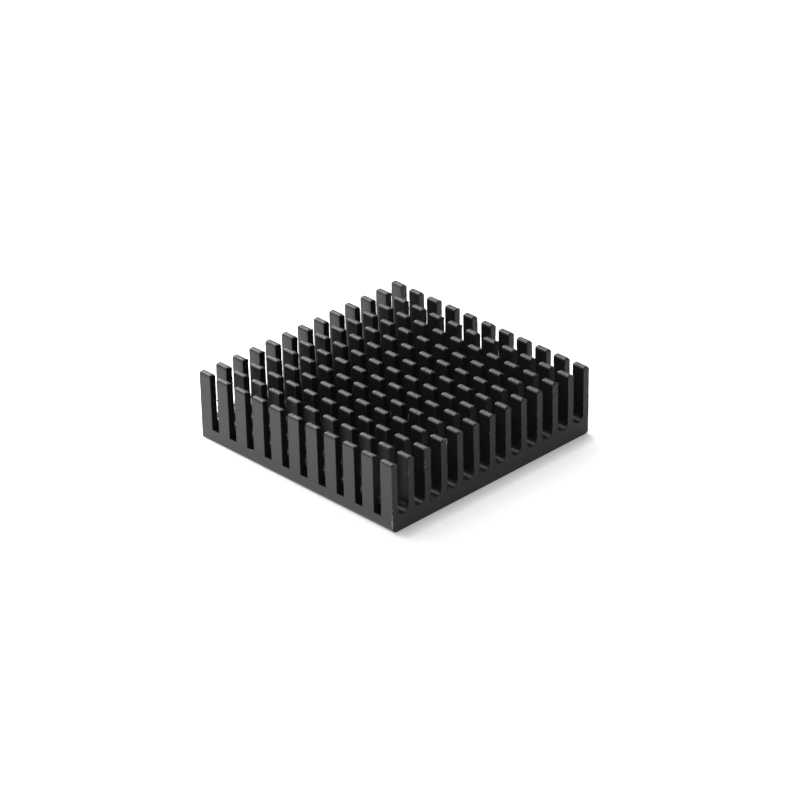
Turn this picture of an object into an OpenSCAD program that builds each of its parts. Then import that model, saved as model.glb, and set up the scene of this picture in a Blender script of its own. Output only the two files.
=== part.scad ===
// Pin fin heat sink. A comb profile is extruded along X, then sawn across the fins into rows of pins.
// X runs along the extrusion, Y across the fins and Z up. The underside rests on Z = 0, centred on X and Y.

/* [Overall] */
// Length along the extrusion, between the two sawn ends
body_l = 40; // [36:1:60]
// Width across the fins
body_w = 40; // [36:1:60]
// Height from the underside to the pin tips
body_h = 11; // [8:0.5:20]

/* [Base] */
// Base thickness under the channels between the fins
base_t = 2.5; // [2:0.1:3.5]
// Radius along the two lower edges of the base
base_edge_r = 0.5; // [0.2:0.1:0.8]

/* [Fins] */
// Number of fins across the width
fin_count = 13; // [7:1:13]
// Fin thickness
fin_t = 1.05; // [0.9:0.05:1.4]
// Radius of the two rounded edges along each fin tip
tip_r = 0.4; // [0.1:0.05:0.4]
// Fillet radius where each fin meets the base, which rounds the channel floors into troughs
root_r = 1.05; // [0.2:0.05:1.05]

/* [Cross cuts] */
// Number of saw cuts across the fins
cut_count = 10; // [4:1:10]
// Width of each saw cut
cut_w = 1.5; // [0.8:0.05:2]
// Depth of the saw cuts below the channel floors
cut_extra = 0.5; // [0.1:0.1:1]

/* [Hidden] */
$fn = 48;
// Distance between fin centres, with the outer fins flush with the sides of the base
fin_pitch = (body_w - fin_t) / (fin_count - 1);
// Clear width of a channel between two fins
channel_w = fin_pitch - fin_t;
// Flat strip left between the two fillets of a channel that is too narrow for them
channel_flat_min = 0.06;
// Fillet radius in use, limited by the channel
foot_r = min(root_r, (channel_w - channel_flat_min) / 2);
// Length of one pin along X, the same for the outer and the inner pins
pin_l = (body_l - cut_count * cut_w) / (cut_count + 1);
// Distance between saw cut centres
cut_pitch = pin_l + cut_w;
// Height of the saw cut floors above the underside
cut_floor_h = base_t - cut_extra;
// Height inside the base from which the fins rise
seat_h = base_t / 2;
// Overrun of a cutting shape past the face it opens through
overrun = 1;

// Centre of fin number i across the width
function fin_y(i) = -body_w / 2 + fin_t / 2 + i * fin_pitch;

// Centre of saw cut number i along the length
function cut_x(i) = -body_l / 2 + pin_l + cut_w / 2 + i * cut_pitch;

// Base plate with its two rounded lower edges
module plate_2d() {
  translate([-body_w / 2, base_edge_r])
    square([body_w, base_t - base_edge_r]);
  translate([-body_w / 2 + base_edge_r, 0])
    square([body_w - 2 * base_edge_r, base_t]);
  for (side = [-1, 1])
    translate([side * (body_w / 2 - base_edge_r), base_edge_r])
      circle(r = base_edge_r);
}

// One fin from inside the base to its rounded tip
module fin_2d() {
  translate([-fin_t / 2, seat_h])
    square([fin_t, body_h - seat_h - tip_r]);
  translate([-fin_t / 2 + tip_r, seat_h])
    square([fin_t - 2 * tip_r, body_h - seat_h]);
  for (side = [-1, 1])
    translate([side * (fin_t / 2 - tip_r), body_h - tip_r])
      circle(r = tip_r);
}

// Foot on one side of a fin, hollowed to the fillet between the fin and the base
module foot_2d() {
  difference() {
    translate([0, seat_h])
      square([fin_t / 2 + foot_r, base_t + foot_r - seat_h]);
    translate([fin_t / 2 + foot_r, base_t + foot_r])
      circle(r = foot_r);
  }
}

// Cross section of the extrusion, where the outer fins have a foot on the inside only
module profile_2d() {
  plate_2d();
  for (i = [0 : fin_count - 1])
    translate([fin_y(i), 0]) {
      fin_2d();
      if (i < fin_count - 1)
        foot_2d();
      if (i > 0)
        mirror([1, 0])
          foot_2d();
    }
}

// Extruded bar with its profile in the Y and Z plane
module bar() {
  rotate([90, 0, 90])
    linear_extrude(height = body_l, center = true)
      profile_2d();
}

// All saw cuts across the fins
module saw_cuts() {
  for (i = [0 : cut_count - 1])
    translate([cut_x(i) - cut_w / 2, -body_w / 2 - overrun, cut_floor_h])
      cube([cut_w, body_w + 2 * overrun, body_h - cut_floor_h + overrun]);
}

// One piece of black anodised aluminium
module heat_sink() {
  color([0.05, 0.05, 0.055])
    difference() {
      bar();
      saw_cuts();
    }
}

heat_sink();
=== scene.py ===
"""Black anodised pin fin heat sink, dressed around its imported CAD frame."""
import math

import bpy
import numpy as np
from mathutils import Matrix, Vector


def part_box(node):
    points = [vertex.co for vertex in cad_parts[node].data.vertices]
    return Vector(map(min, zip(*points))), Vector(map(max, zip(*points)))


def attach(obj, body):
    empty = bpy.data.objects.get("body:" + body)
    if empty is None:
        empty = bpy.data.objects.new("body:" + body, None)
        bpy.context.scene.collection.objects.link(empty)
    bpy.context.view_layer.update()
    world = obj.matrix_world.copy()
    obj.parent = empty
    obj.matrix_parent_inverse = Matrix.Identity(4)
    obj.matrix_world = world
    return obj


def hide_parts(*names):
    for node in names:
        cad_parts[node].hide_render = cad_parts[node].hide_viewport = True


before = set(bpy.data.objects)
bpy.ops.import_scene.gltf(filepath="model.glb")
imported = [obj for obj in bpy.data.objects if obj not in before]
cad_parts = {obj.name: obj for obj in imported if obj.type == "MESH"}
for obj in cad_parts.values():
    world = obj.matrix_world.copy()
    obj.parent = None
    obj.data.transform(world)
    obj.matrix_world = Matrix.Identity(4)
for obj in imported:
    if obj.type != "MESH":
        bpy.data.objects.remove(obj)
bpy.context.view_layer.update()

MM = 0.001
LOW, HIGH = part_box("heat_sink")

# ---------------------------------------------------------------- sizes of the part, in millimetres
X0, X1 = LOW.x / MM, HIGH.x / MM
Y0, Y1 = LOW.y / MM, HIGH.y / MM
TOP = HIGH.z / MM
FIN_COUNT = 13
ROW_COUNT = 11
FIN_T = 1.05
CUT_W = 1.5
BASE_T = 2.5
FLOOR_Z = 2.0  # floor of the saw cuts
TIP_R = 0.4
ROOT_R = 1.05
EDGE_R = 0.5
BREAK = 0.05  # broken edge along the sawn ends
TROUGH_BREAK = 0.8 * BREAK  # and along the channel floors
ROOT_Z = BASE_T + ROOT_R
SHOULDER_Z = TOP - TIP_R
PIN_L = (X1 - X0 - (ROW_COUNT - 1) * CUT_W) / ROW_COUNT
ROW_PITCH = PIN_L + CUT_W
FIN_PITCH = (Y1 - Y0 - FIN_T) / (FIN_COUNT - 1)
LAST_FIN = FIN_COUNT - 1
LAST_ROW = ROW_COUNT - 1

# ---------------------------------------------------------------- what sets this sample apart, in millimetres
LAST_FIN_EXTRA = 0.15  # the fin on the +Y side stands a little proud of the others
LOWER_EDGE_R = (0.25, 0.775)  # radius of the lower -Y edge at its -X and its +X end
LEAN_SPREAD = 0.022
BENT_PIN, BENT_LEAN = (5, 4), (-0.12, -0.05)
BURR_SPREAD = 0.018
FRET = 0.2 * BREAK  # fine unevenness of the broken edges
LIP_RANGE = (0.03, 0.10)  # thin lip that the saw pushed over the +X, +Y edges
LIP_STEADY = 0.75  # share of the lip that is even along the edge
TIP_WEAR = (0.06, 0.30)  # rounding of a tip at its -X and its +X end
SAW_WAVES = ((0.010, 2.1), (0.007, 4.6), (0.004, 9.0))  # half height and turn per millimetre
FADE_H = 1.5  # height above the foot over which the waves and the wander of the saw set in
# the saw cuts open up a little towards the +Y side: how much the -X end of each row has lost there
CUT_WANDER = (0.0, 0.08, 0.12, 0.18, 0.29, 0.28, 0.11, 0.10, 0.04, 0.0, 0.0)

# ---------------------------------------------------------------- fineness of the mesh
SIDE_STEPS = 20
TIP_STEPS = 5
ROOT_STEPS = 8
EDGE_STEPS = 6

# columns of the comb profile, and what its side column says
Y, Z, NY, NZ, FIN, SIDE = range(6)
MINUS_SIDE, PLUS_SIDE, TROUGH = -1, 1, 2
# kinds of face, in the order of the material slots
EXTRUDED, SAWN = 0, 1


def fin_y(j):
    """Middle of fin j."""
    return Y0 + FIN_T / 2 + j * FIN_PITCH


def row_x(i):
    """The -X end of row i."""
    return X0 + i * ROW_PITCH


def shoulder_z(j):
    """Height at which the rounded tip of fin j starts."""
    return SHOULDER_Z + (LAST_FIN_EXTRA if j == LAST_FIN else 0.0)


def quarter(k, steps):
    """Angle of step k along a quarter round."""
    return math.pi / 2 * k / steps


# ---------------------------------------------------------------- comb profile
def comb_profile():
    """Points with their normals, fin and side, from the -Y side over all fins to the +Y side."""
    points = []

    def add(*point):
        points.append(point)

    for j in range(FIN_COUNT):
        ya, yb = fin_y(j) - FIN_T / 2, fin_y(j) + FIN_T / 2
        shoulder = shoulder_z(j)
        heights = np.linspace(ROOT_Z, shoulder, SIDE_STEPS + 1)
        if j == 0:
            add(ya, FLOOR_Z, -1, 0, j, MINUS_SIDE)
        for z in heights:
            add(ya, z, -1, 0, j, MINUS_SIDE)
        for k in range(1, TIP_STEPS + 1):
            a = quarter(k, TIP_STEPS)
            add(ya + TIP_R * (1 - math.cos(a)), shoulder + TIP_R * math.sin(a),
                -math.cos(a), math.sin(a), j, MINUS_SIDE)
        for k in range(TIP_STEPS, 0, -1):
            a = quarter(k, TIP_STEPS)
            add(yb - TIP_R * (1 - math.cos(a)), shoulder + TIP_R * math.sin(a),
                math.cos(a), math.sin(a), j, PLUS_SIDE)
        for z in heights[::-1]:
            add(yb, z, 1, 0, j, PLUS_SIDE)
        if j == LAST_FIN:
            add(yb, FLOOR_Z, 1, 0, j, PLUS_SIDE)
            break
        next_ya = yb + FIN_PITCH - FIN_T
        for k in range(1, ROOT_STEPS + 1):
            a = quarter(k, ROOT_STEPS)
            add(yb + ROOT_R * (1 - math.cos(a)), ROOT_Z - ROOT_R * math.sin(a),
                math.cos(a), math.sin(a), j, TROUGH)
        for k in range(ROOT_STEPS, 0, -1):
            a = quarter(k, ROOT_STEPS)
            add(next_ya - ROOT_R * (1 - math.cos(a)), ROOT_Z - ROOT_R * math.sin(a),
                -math.cos(a), math.sin(a), j, TROUGH)
    return np.array(points, float)


P = comb_profile()
N_RING = len(P)
OUTER = (0, N_RING - 1)


def at_root(k):
    return abs(P[k, Z] - ROOT_Z) < 1e-9


def rungs(j):
    """Pairs of profile indices at equal height on the two sides of fin j, from its root to its tip."""
    sides = [[k for k in range(N_RING)
              if P[k, FIN] == j and P[k, SIDE] == side and (P[k, Z] >= ROOT_Z or at_root(k))]
             for side in (MINUS_SIDE, PLUS_SIDE)]
    return list(zip(sides[0], sides[1][::-1]))


RUNGS = [rungs(j) for j in range(FIN_COUNT)]
# profile indices whose y is carried down to the saw cut floor, in order of y
FOOT = [k for k in range(N_RING) if P[k, SIDE] == TROUGH or at_root(k)]


def lower_shell(x):
    """Profile under the base from the -Y cut floor edge to the +Y one. The -Y edge is rounded unevenly."""
    start, end = LOWER_EDGE_R
    sides = []
    for r in (start + (end - start) * (x - X0) / (X1 - X0), EDGE_R):
        side = [(Y0, FLOOR_Z - BREAK, -1.0, 0.0), (Y0, r, -1.0, 0.0)]
        for k in range(1, EDGE_STEPS + 1):
            a = quarter(k, EDGE_STEPS)
            side.append((Y0 + r * (1 - math.cos(a)), r * (1 - math.sin(a)), -math.cos(a), -math.sin(a)))
        sides.append(side)
    return sides[0] + [(-y, z, -ny, nz) for y, z, ny, nz in sides[1][::-1]]


N_LOWER = len(lower_shell(X0))

# ---------------------------------------------------------------- small irregularities of the real pins
rng = np.random.default_rng(7)
lean = rng.normal(0.0, LEAN_SPREAD, (ROW_COUNT, FIN_COUNT, 2))
lean[BENT_PIN] = BENT_LEAN
burr = np.abs(rng.normal(0.0, BURR_SPREAD, (ROW_COUNT, FIN_COUNT, 2, 2)))
lip = rng.uniform(*LIP_RANGE, (ROW_COUNT, FIN_COUNT))
lip[10, 2], lip[10, 3] = 0.16, 0.13
lip[1:8, 11] *= 0.8
tip_wear = 0.75 + 0.5 * rng.random((ROW_COUNT, FIN_COUNT, 2))  # each tip end has 0.75 to 1.25 of the wear
wave_phase = rng.random((ROW_COUNT, FIN_COUNT, 2, 3)) * 2 * math.pi
edge_noise = rng.normal(0.0, 1.0, (ROW_COUNT, 2, N_RING))


def fade(z):
    """From 0 at the foot of a pin to 1 a little above it."""
    return min(1.0, max(0.0, (z - ROOT_Z) / FADE_H))


def pin_lean(i, j, z):
    """Shift along X and Y of a leaning pin, growing from its root to its tip."""
    share = max(0.0, (z - ROOT_Z) / (TOP - ROOT_Z)) ** 1.5
    return lean[i, j, 0] * share, lean[i, j, 1] * share


def saw_wave(i, j, end, z):
    """Slow unevenness of a sawn face along X, none at the foot."""
    return fade(z) * sum(height * math.sin(turn * z + phase)
                         for (height, turn), phase in zip(SAW_WAVES, wave_phase[i, j, end]))


def cut_shift(i, j, end, z):
    """How far the -X end of a pin is sawn short, none at the foot."""
    return CUT_WANDER[i] * j / LAST_FIN * fade(z) if end == 0 else 0.0


def edge_inset(i, end, k):
    """How far a sawn end is drawn in at profile point k: an uneven broken edge with a few proud burrs."""
    j, side = int(P[k, FIN]), int(P[k, SIDE])
    if k in OUTER:
        return BREAK
    if side == TROUGH:
        return TROUGH_BREAK
    noise = edge_noise[i, end, k]
    rough = FRET * noise - burr[i, j, end, 0 if side == MINUS_SIDE else 1] * max(0.0, noise)
    if end == 1 and side == PLUS_SIDE:
        return FRET - lip[i, j] * (LIP_STEADY + (1 - LIP_STEADY) * noise) + rough
    return BREAK + rough


def tip_worn(i, end, k):
    """How far the end of a tip is worn round, most of all on its +Y side."""
    facing = min(1.0, max(0.25, 0.8 + P[k, NY]))
    return TIP_WEAR[end] * tip_wear[i, int(P[k, FIN]), end] * facing * P[k, NZ]


# ---------------------------------------------------------------- mesh of the body
verts, faces, kinds, bare = [], [], [], []


def vertex(x, y, z, shine=0.0):
    """shine is how bare the metal is there."""
    verts.append((x, y, z))
    bare.append(shine)
    return len(verts) - 1


def face(corners, kind):
    faces.append(tuple(corners))
    kinds.append(kind)


# sections of a row: distance from its -X end, and share of the broken edge that is drawn in there
NEAR_END = ((0.0, 1.0), (0.3 * BREAK, 0.3), (BREAK, 0.0), (1.6 * BREAK, 0.0))
SECTIONS = NEAR_END + tuple((PIN_L - dx, share) for dx, share in NEAR_END[::-1])
WAVY = (0, 1, 2, 5, 6, 7)  # sections that follow the unevenness of the sawn face


def ring_point(i, s, k):
    """Point k of the comb profile in section s of row i."""
    dx, share = SECTIONS[s]
    end = 0 if dx < PIN_L / 2 else 1
    y, z, ny, nz = P[k, :FIN]
    j = int(P[k, FIN])
    inset = share * edge_inset(i, end, k)
    shift, shift_y = pin_lean(i, j, z)
    if z > SHOULDER_Z:
        worn = tip_worn(i, end, k)
        if 0.0 < share < 1.0:
            inset += share * (inset + worn)
        inset += 0.6 * share * worn
        shift += (worn if end == 0 else -worn) * (dx if end == 0 else PIN_L - dx) / BREAK
    if s in WAVY:
        shift += saw_wave(i, j, end, z)
    shift += cut_shift(i, j, end, z)
    return row_x(i) + dx + shift, y - ny * inset + shift_y, z - nz * inset


def lower_section(i, s):
    """Vertices under the base in section s of row i. Only the two ends of the part have a broken edge."""
    dx, share = SECTIONS[s]
    outside = (i == 0 and dx < PIN_L / 2) or (i == LAST_ROW and dx > PIN_L / 2)
    inset = share * BREAK if outside else 0.0
    x = row_x(i) + dx
    return [vertex(x, y - ny * inset, z - nz * inset) for y, z, ny, nz in lower_shell(x)]


def foot_line(ring, x):
    """Vertices along the cut floor under a sawn end."""
    inner = [vertex(x, verts[ring[k]][1], FLOOR_Z) for k in FOOT[1:-1]]
    return [ring[0]] + inner + [ring[-1]]


def skin(a, b, lower_a, lower_b):
    """Sides and underside between two neighbouring sections that end at the vertices of a and b."""
    face((lower_a[0], a[0], b[0], lower_b[0]), EXTRUDED)
    face((a[-1], lower_a[-1], lower_b[-1], b[-1]), EXTRUDED)
    for k in range(N_LOWER - 1):
        face((lower_a[k + 1], lower_a[k], lower_b[k], lower_b[k + 1]), EXTRUDED)


def sawn_end(ring, foot, flip):
    """Sawn faces of all the pins of a row at one end, down to the cut floor."""
    quads = [(ring[a], ring[b], ring[d], ring[c])
             for pairs in RUNGS
             for (a, b), (c, d) in zip(pairs, pairs[1:])]
    quads += [(foot[n], foot[n + 1], ring[FOOT[n + 1]], ring[FOOT[n]]) for n in range(len(FOOT) - 1)]
    for corners in quads:
        face(corners[::-1] if flip else corners, SAWN)


def comb_body():
    """The extrusion with its saw cuts, as one closed skin."""
    rings, lowers, feet = [], [], []
    for i in range(ROW_COUNT):
        row, row_lower = [], []
        for s in range(len(SECTIONS)):
            row.append([vertex(*ring_point(i, s, k)) for k in range(N_RING)])
            row_lower.append(lower_section(i, s))
        rings.append(row)
        lowers.append(row_lower)
        feet.append([foot_line(row[0], row_x(i)), foot_line(row[-1], row_x(i) + PIN_L)])
    for i in range(ROW_COUNT):
        for a, b, lower_a, lower_b in zip(rings[i], rings[i][1:], lowers[i], lowers[i][1:]):
            for k in range(N_RING - 1):
                face((a[k], a[k + 1], b[k + 1], b[k]), EXTRUDED)
            skin(a, b, lower_a, lower_b)
        sawn_end(rings[i][0], feet[i][0], True)
        sawn_end(rings[i][-1], feet[i][1], False)
        if i < LAST_ROW:
            a, b = feet[i][1], feet[i + 1][0]
            for n in range(len(a) - 1):
                face((a[n + 1], a[n], b[n], b[n + 1]), SAWN)
            skin(a, b, lowers[i][-1], lowers[i + 1][0])
    # the two ends of the base below the level of the cut floors
    face(lowers[0][0][::-1] + feet[0][0], SAWN)
    face(feet[-1][1][::-1] + lowers[-1][-1], SAWN)


comb_body()


# ---------------------------------------------------------------- burrs and knocks
def contour(j, u):
    """Point and normal on the outline of fin j, u millimetres from the middle of its tip, + towards +Y."""
    flat, bend = FIN_T / 2 - TIP_R, TIP_R * math.pi / 2
    d, sign = abs(u), (1.0 if u > 0 else -1.0)
    if d <= flat:
        return fin_y(j) + u, shoulder_z(j) + TIP_R, 0.0, 1.0
    if d <= flat + bend:
        a = (d - flat) / TIP_R
        return (fin_y(j) + sign * (flat + TIP_R * math.sin(a)), shoulder_z(j) + TIP_R * math.cos(a),
                sign * math.sin(a), math.cos(a))
    return fin_y(j) + sign * FIN_T / 2, shoulder_z(j) - (d - flat - bend), sign, 0.0


def prism(a, b, crest, shine):
    """Closed strip with a triangle for its section, between three lines of points."""
    along = np.subtract(a[-1], a[0])
    if np.dot(np.cross(np.subtract(b[0], a[0]), np.subtract(crest[0], a[0])), along) < 0:
        a, b = b, a
    a, b, crest = ([vertex(*point, shine) for point in line] for line in (a, b, crest))
    for m in range(len(a) - 1):
        for p, q in ((a, b), (b, crest), (crest, a)):
            face((p[m], q[m], q[m + 1], p[m + 1]), SAWN)
    face((a[0], crest[0], b[0]), SAWN)
    face((a[-1], b[-1], crest[-1]), SAWN)


def ridge(i, j, end, u0, u1, height, shine, jag=0.5, outward=0.3):
    """Burr along the edge of a sawn end, from u0 to u1 on the outline of the pin."""
    steps = max(MIN_STEPS, int(abs(u1 - u0) / RIDGE_STEP))
    out = -1.0 if end == 0 else 1.0
    a, b, crest = [], [], []
    for m in range(steps + 1):
        t = m / steps
        y, z, ny, nz = contour(j, u0 + (u1 - u0) * t)
        lean_x, lean_y = pin_lean(i, j, z)
        x = row_x(i) + (PIN_L if end else 0.0) + lean_x + cut_shift(i, j, end, z)
        y += lean_y
        swell = math.sin(math.pi * (0.12 + 0.76 * t)) ** 0.5  # lower towards both blunt ends
        h = height * swell * (1 - jag * burr_rng.random())
        for line, (inward, under) in ((a, RIDGE_INNER), (b, RIDGE_OUTER)):
            line.append((x - out * inward, y - ny * under, z - nz * under))
        crest.append((x + out * outward * h * (burr_rng.random() - 0.2), y + ny * h, z + nz * h))
    prism(a, b, crest, shine)


def corner_ridge(z0, z1, width, out, shine):
    """Knocked front corner, where the anodising is gone."""
    steps = max(MIN_STEPS, int((z1 - z0) / CORNER_STEP))
    a, b, crest = [], [], []
    for m in range(steps + 1):
        t = m / steps
        z = z0 + (z1 - z0) * t
        taper = min(1.0, 4 * t + 0.15, 4 * (1 - t) + 0.15)
        w = width * taper * (1 - 0.5 * burr_rng.random())
        a.append((X1 - w, Y0 - CORNER_PROUD, z))
        b.append((X1 + CORNER_PROUD, Y0 + w * 0.8, z))
        crest.append((X1 + out * burr_rng.random(), Y0 - out * burr_rng.random(), z))
    prism(a, b, crest, shine)


def chip(centre, u, v, n, shine):
    """Small raised flake: a low pyramid on a surface, u and v its half sizes, n its height."""
    c, u, v, n = (np.array(q, float) for q in (centre, u, v, n))
    corners = ((-1, -1), (1, -0.7), (0.8, 1), (-1, 0.8))
    ring = [vertex(*(c + su * u + sv * v - 0.3 * n), shine) for su, sv in corners]
    top = vertex(*(c + 0.2 * u + n), shine)
    if np.dot(np.cross(u, v), n) < 0:
        ring.reverse()
    for m in range(4):
        face((ring[m], ring[(m + 1) % 4], top), SAWN)
    face(ring[::-1], SAWN)


burr_rng = np.random.default_rng(23)
MIN_STEPS = 4
RIDGE_STEP, CORNER_STEP = 0.07, 0.09
# the two root lines of a ridge: how far in from the sawn face, and how far under the outline of the pin
RIDGE_INNER, RIDGE_OUTER = (0.07, 0.06), (0.004, 0.09)
CORNER_PROUD = 0.006
RIDGES = [  # row, fin, end, from, to, height, shine, jaggedness
    (7, 3, 1, 0.25, 1.45, 0.26, 0.90, 0.2),
    (5, 4, 1, 0.30, 1.80, 0.07, 0.25, 0.4),
    (5, 4, 1, 1.70, 2.60, 0.20, 0.90, 0.2),
    (8, 4, 0, -2.20, -1.20, 0.20, 1.00, 0.2),
    (5, 5, 1, -1.25, -0.80, 0.16, 0.45, 0.3),
    (6, 4, 1, 0.30, 1.10, 0.14, 0.30, 0.4),
    (6, 5, 1, 0.30, 1.10, 0.12, 0.28, 0.4),
    (6, 3, 1, 0.30, 1.10, 0.10, 0.25, 0.4),
    (7, 6, 1, 0.20, 1.20, 0.10, 0.25, 0.4),
    (10, 3, 1, 0.10, 1.35, 0.17, 0.80, 0.2),
    (10, 3, 1, 1.35, 2.90, 0.10, 0.25, 0.4),
    (10, 1, 1, -3.05, -2.45, 0.14, 0.40, 0.3),
    (10, 1, 1, -2.40, -1.60, 0.06, 0.12, 0.6),
    (10, 2, 1, -2.60, -2.35, 0.28, 0.35, 0.3),
    (10, 2, 1, -3.30, -3.05, 0.30, 0.40, 0.3),
    (10, 2, 1, -4.40, -3.30, 0.09, 0.15, 0.8),
    (10, 6, 1, -3.20, -2.85, 0.20, 0.35, 0.3),
    (10, 6, 1, -4.60, -1.60, 0.09, 0.12, 0.9),
    (10, 0, 1, 0.20, 1.10, 0.08, 0.30, 0.5),
    (10, 2, 1, 0.20, 1.30, 0.12, 0.25, 0.4),
    (10, 0, 0, -6.90, -6.15, 0.14, 0.06, 0.3, 3.0),
    (10, 0, 0, -4.90, -4.60, 0.08, 0.05, 0.3, 2.0),
]
# short burrs on the +X, +Y edges all over the field
for i in range(ROW_COUNT):
    for j in range(FIN_COUNT):
        if burr_rng.random() < 0.30 and (i, j) != BENT_PIN:
            u = burr_rng.uniform(0.2, 0.5)
            length, height = burr_rng.uniform(0.4, 0.9), burr_rng.uniform(0.05, 0.11)
            RIDGES.append((i, j, 1, u, u + length, height, 0.22))
# a broken line of burrs down the -Y edges of the +X end face
for j in range(7, FIN_COUNT):
    u = -1.2
    while u > -7.6:
        length = burr_rng.uniform(0.25, 0.9)
        height, shine = burr_rng.uniform(0.05, 0.14), burr_rng.uniform(0.04, 0.22)
        RIDGES.append((LAST_ROW, j, 1, u - length, u, height, shine, 0.9))
        u -= length + burr_rng.uniform(0.1, 0.9)
# dark crumbs low in the cuts of the -Y side
for i in range(1, ROW_COUNT):
    for _ in range(3):
        u = -burr_rng.uniform(3.4, 7.2)
        length, height = burr_rng.uniform(0.25, 0.5), burr_rng.uniform(0.05, 0.10)
        RIDGES.append((i, 0, 0, u - length, u, height, 0.05, 0.4, 3.0))
for row in RIDGES:
    ridge(*row)

CORNER_RIDGES = (  # from z, to z, width, how far it stands out, shine
    (0.75, 2.35, 0.20, 0.05, 1.0),
    (2.35, 3.3, 0.13, 0.035, 0.8),
    (3.5, 4.3, 0.10, 0.03, 0.6),
    (4.6, 5.0, 0.08, 0.02, 0.5),
    (5.4, 6.1, 0.07, 0.02, 0.4),
    (7.0, 7.3, 0.07, 0.02, 0.4),
)
for row in CORNER_RIDGES:
    corner_ridge(*row)

chip((row_x(3) - 0.35, Y0, FLOOR_Z - 0.02), (0.35, 0, -0.02), (0, 0, 0.05), (0, -0.05, 0), 0.7)
chip((row_x(3) + 0.02, Y0, FLOOR_Z + 0.12), (0.05, 0, 0), (0, 0, 0.16), (0, -0.05, 0), 0.6)
chip((X1, fin_y(4) - 1.3, 1.75), (0, 0.05, 0.02), (0, 0.03, 0.36), (0.03, 0, 0), 0.22)


# ---------------------------------------------------------------- materials
def node(tree, kind, inputs=None, **settings):
    """New shader node. An input is given a value, or the output of another node to link to."""
    made = tree.nodes.new("ShaderNode" + kind)
    for name, value in settings.items():
        setattr(made, name, value)
    for name, value in (inputs or {}).items():
        if isinstance(value, bpy.types.NodeSocket):
            tree.links.new(value, made.inputs[name])
        else:
            made.inputs[name].default_value = value
    return made


def new_material(name):
    mat = bpy.data.materials.new(name)
    mat.use_nodes = True
    mat.node_tree.nodes.clear()
    return mat, mat.node_tree


def noise(tree, vector, scale, detail):
    return node(tree, "TexNoise", {"Vector": vector, "Scale": scale, "Detail": detail}).outputs["Fac"]


def times(tree, a, b, clamp=False):
    return node(tree, "Math", {0: a, 1: b}, operation="MULTIPLY", use_clamp=clamp).outputs[0]


def colour_mix(tree, factor, a, b):
    return node(tree, "Mix", {"Factor": factor, "A": a, "B": b}, data_type="RGBA").outputs["Result"]


def map_range(tree, value, span, source=(0.0, 1.0)):
    """Value brought from the range source to the range span."""
    made = node(tree, "MapRange", {"Value": value, "From Min": source[0], "From Max": source[1],
                                   "To Min": span[0], "To Max": span[1]})
    return made.outputs["Result"]


def bump(tree, height, strength, distance, normal=None):
    inputs = {"Height": height, "Strength": strength, "Distance": distance}
    if normal:
        inputs["Normal"] = normal
    return node(tree, "Bump", inputs).outputs["Normal"]


ANODISED_TONES = (0.0150, 0.0148, 0.0163, 1), (0.0240, 0.0232, 0.0230, 1)
BARE_METAL = (0.62, 0.62, 0.625, 1)
BARE_METALLIC = 0.2
PAINTED_GLOW_COLOUR, PAINTED_GLOW = (1, 0.98, 0.97, 1), 0.002  # painted glow: the whole part gives off a faint light of its own, like haze, which lifts its darkest gaps
CLOUD_SCALE, GRAIN_SCALE = 0.45 / MM, 9.0 / MM
ROUGH_SPREAD = 0.06


def anodised(name, stretch, line_scale, line_bump, rough, ior):
    """Satin black anodised aluminium. stretch draws the line pattern out along the axis the tool ran."""
    mat, tree = new_material(name)
    coord = node(tree, "TexCoord").outputs["Object"]
    drawn = node(tree, "Mapping", {"Vector": coord, "Scale": [s / MM for s in stretch]}).outputs["Vector"]
    lines = noise(tree, drawn, line_scale, 4.0)
    grain = noise(tree, coord, GRAIN_SCALE, 3.0)
    cloud = noise(tree, coord, CLOUD_SCALE, 3.0)
    # burrs and knocks where the bare aluminium shows
    mark = node(tree, "Attribute", attribute_name="bare").outputs["Fac"]
    bared = times(tree, mark, map_range(tree, grain, (0.75, 1.15), (0.35, 0.65)), clamp=True)
    tone = colour_mix(tree, cloud, *ANODISED_TONES)
    normal = bump(tree, lines, line_bump, 0.01 * MM)
    bsdf = node(tree, "BsdfPrincipled", {
        "Base Color": colour_mix(tree, bared, tone, BARE_METAL),
        "Metallic": times(tree, bared, BARE_METALLIC),
        "Roughness": map_range(tree, lines, (rough - ROUGH_SPREAD, rough + ROUGH_SPREAD)),
        "IOR": ior,
        "Normal": bump(tree, grain, 0.5, 0.006 * MM, normal),
        # painted glow: a faint emission over the whole part
        "Emission Color": PAINTED_GLOW_COLOUR,
        "Emission Strength": PAINTED_GLOW,
    })
    node(tree, "OutputMaterial", {"Surface": bsdf.outputs["BSDF"]})
    return mat


# ---------------------------------------------------------------- the part
mesh = bpy.data.meshes.new("pin_fin_body")
mesh.from_pydata([Vector(v) * MM for v in verts], [], faces)
mesh.validate()
mesh.polygons.foreach_set("material_index", kinds)
mesh.polygons.foreach_set("use_smooth", [True] * len(faces))
mesh.attributes.new("bare", "FLOAT", "POINT").data.foreach_set("value", np.array(bare, np.float32))
mesh.set_sharp_from_angle(angle=math.radians(40))
mesh.update()
body = bpy.data.objects.new("pin_fin_body", mesh)
bpy.context.scene.collection.objects.link(body)
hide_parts("heat_sink")
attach(body, "root")
mesh.materials.append(anodised("anodised_extruded", (0.04, 1.0, 1.0), 7.0, 0.5, 0.32, 1.6))
mesh.materials.append(anodised("anodised_sawn", (1.0, 0.05, 1.0), 6.0, 0.7, 0.42, 1.41))

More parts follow.
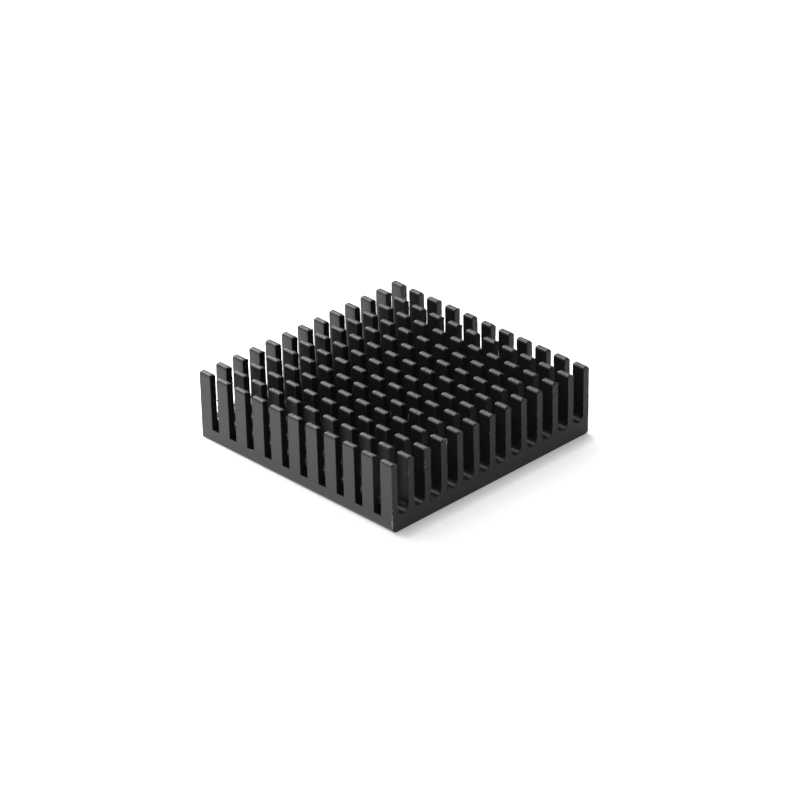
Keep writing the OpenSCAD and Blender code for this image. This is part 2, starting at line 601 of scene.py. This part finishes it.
# ---------------------------------------------------------------- stage
PAPER_SEEN, PAPER_UNSEEN = (0.9, 0.9, 0.9, 1), (0.3, 0.3, 0.3, 1)  # to the camera, and to other rays
PAPER_GLOW = 0.76  # light added where the camera sees the paper, which brings it to white
MIRROR_X, MIRROR_X_GLOW = (-60.0 * MM, 250.0 * MM), (1.20, 0.20)  # painted falloff of the glow in reflections along X
MIRROR_FAR, MIRROR_FAR_GLOW = (80.0 * MM, 600.0 * MM), (1.04, 0.35)  # and with the distance from the part
# painted shadow on the paper's glow near the part, from ambient occlusion
SHADE_FROM = Vector((-0.7, -0.6, 0.4)).normalized()
SHADE_REACH = (20.0 * MM, 2.6 * MM)  # for other rays, and for the camera
SHADE_FLOOR = 0.12  # share of the glow left where the part is closest


def paper():
    """White paper that takes shadows and stays white where the camera and reflections see it."""
    mat, tree = new_material("white_paper")
    path = node(tree, "LightPath").outputs
    seen = path["Is Camera Ray"]
    diffuse = node(tree, "BsdfDiffuse", {"Color": colour_mix(tree, seen, PAPER_UNSEEN, PAPER_SEEN)})
    # painted light falloff: in reflections the paper's glow is made to fall off from the left side to the
    # right, and away from the part, as light from the left would
    mirrored = node(tree, "Math", {0: path["Is Glossy Ray"], 1: path["Is Transmission Ray"]},
                    operation="MAXIMUM")
    coord = node(tree, "TexCoord").outputs["Object"]
    x = node(tree, "SeparateXYZ", {0: coord}).outputs["X"]
    far = node(tree, "VectorMath", {0: coord}, operation="LENGTH").outputs["Value"]
    painted_falloff = times(tree, map_range(tree, x, MIRROR_X_GLOW, MIRROR_X),
                    map_range(tree, far, MIRROR_FAR_GLOW, MIRROR_FAR))
    glow = node(tree, "Math", {0: seen, 1: PAPER_GLOW, 2: times(tree, mirrored.outputs[0], painted_falloff)},
                operation="MULTIPLY_ADD")
    # painted shadow: the paper's glow is dimmed by ambient occlusion that leans towards the left where the
    # part stands close, as if the part kept some of the light from the left off the paper beside it
    towards = node(tree, "CombineXYZ", dict(zip("XYZ", SHADE_FROM)))
    shade = node(tree, "AmbientOcclusion", {"Distance": map_range(tree, seen, SHADE_REACH),
                                            "Normal": towards.outputs[0]}, samples=4)
    painted_shadow_share = map_range(tree, shade.outputs["AO"], (SHADE_FLOOR, 1.0))
    emission = node(tree, "Emission", {"Strength": times(tree, glow.outputs[0], painted_shadow_share)})
    surface = node(tree, "AddShader", {0: diffuse.outputs[0], 1: emission.outputs[0]})
    node(tree, "OutputMaterial", {"Surface": surface.outputs[0]})
    return mat


def paper_cove(radius, bend, height):
    """Round sheet of paper that lies flat under the part and curves up to a low wall around it."""
    turns, bend_steps = 64, 8
    profile = [(radius, 0.0)]
    for k in range(1, bend_steps + 1):
        a = quarter(k, bend_steps)
        profile.append((radius + bend * math.sin(a), bend * (1 - math.cos(a))))
    profile.append((radius + bend, height))
    points, polys = [(0.0, 0.0, 0.0)], []
    for r, z in profile:
        for t in range(turns):
            a = 2 * math.pi * t / turns
            points.append((r * math.cos(a), r * math.sin(a), z))
    for t in range(turns):
        polys.append((0, 1 + t, 1 + (t + 1) % turns))
        for k in range(len(profile) - 1):
            a, b = 1 + k * turns + t, 1 + k * turns + (t + 1) % turns
            polys.append((a, a + turns, b + turns, b))
    data = bpy.data.meshes.new("paper_cove")
    data.from_pydata(points, [], polys)
    data.polygons.foreach_set("use_smooth", [True] * len(polys))
    data.materials.append(paper())
    obj = bpy.data.objects.new("paper_cove", data)
    obj.location.z = LOW.z - 0.02 * MM
    bpy.context.scene.collection.objects.link(obj)


paper_cove(2.2, 0.3, 1.0)

# ---------------------------------------------------------------- light
LIGHT_DISTANCE, LIGHT_SIDE = 0.7, 0.4
LIGHTS = (  # name, direction from the part, how bright it looks, where 1 is white
    ("left_low", (-0.90, 0.22, 0.38), 10.6),
    ("left_mid", (-0.80, -0.12, 0.58), 3.9),
    ("back_high", (-0.45, 0.50, 0.74), 2.9),
    ("left_front", (-0.70, -0.40, 0.60), 1.9),
)


def soft_box(name, direction, radiance):
    """Square lamp that faces the part."""
    light = bpy.data.lights.new(name, "AREA")
    light.shape = "SQUARE"
    light.size = LIGHT_SIDE
    light.energy = radiance * math.pi * LIGHT_SIDE ** 2
    obj = bpy.data.objects.new(name, light)
    towards = Vector(direction).normalized()
    obj.location = towards * LIGHT_DISTANCE
    obj.rotation_euler = towards.to_track_quat("Z", "Y").to_euler()
    bpy.context.scene.collection.objects.link(obj)


for row in LIGHTS:
    soft_box(*row)

world = bpy.data.worlds.new("studio")
bpy.context.scene.world = world
world.use_nodes = True
world.node_tree.nodes["Background"].inputs["Color"].default_value = (1, 1, 1, 1)
world.node_tree.nodes["Background"].inputs["Strength"].default_value = 0.02

# ---------------------------------------------------------------- camera
AZIMUTH, ELEVATION, ROLL = math.radians(46.225), math.radians(28.938), math.radians(-1.24)
DISTANCE = 0.50853
AIM_HEIGHT, AIM_RIGHT, AIM_UP = 5.0 * MM, 0.808 * MM, 0.689 * MM  # aimed a little beside the part's middle

back = Vector((math.sin(AZIMUTH) * math.cos(ELEVATION), -math.cos(AZIMUTH) * math.cos(ELEVATION),
               math.sin(ELEVATION)))
right = (-back).cross(Vector((0, 0, 1))).normalized()
up = right.cross(-back)
right_rolled = right * math.cos(ROLL) + up * math.sin(ROLL)
up_rolled = -right * math.sin(ROLL) + up * math.cos(ROLL)
target = Vector((0, 0, AIM_HEIGHT)) + right * AIM_RIGHT + up * AIM_UP
lens = bpy.data.cameras.new("camera")
lens.lens = 156.711
lens.sensor_width = 36.0
lens.clip_start = 0.01
lens.clip_end = 20.0
camera = bpy.data.objects.new("camera", lens)
rotation = Matrix((right_rolled, up_rolled, back)).transposed()
camera.matrix_world = Matrix.Translation(target + back * DISTANCE) @ rotation.to_4x4()
bpy.context.scene.collection.objects.link(camera)
bpy.context.scene.camera = camera
bpy.context.scene.view_settings.view_transform = "Standard"
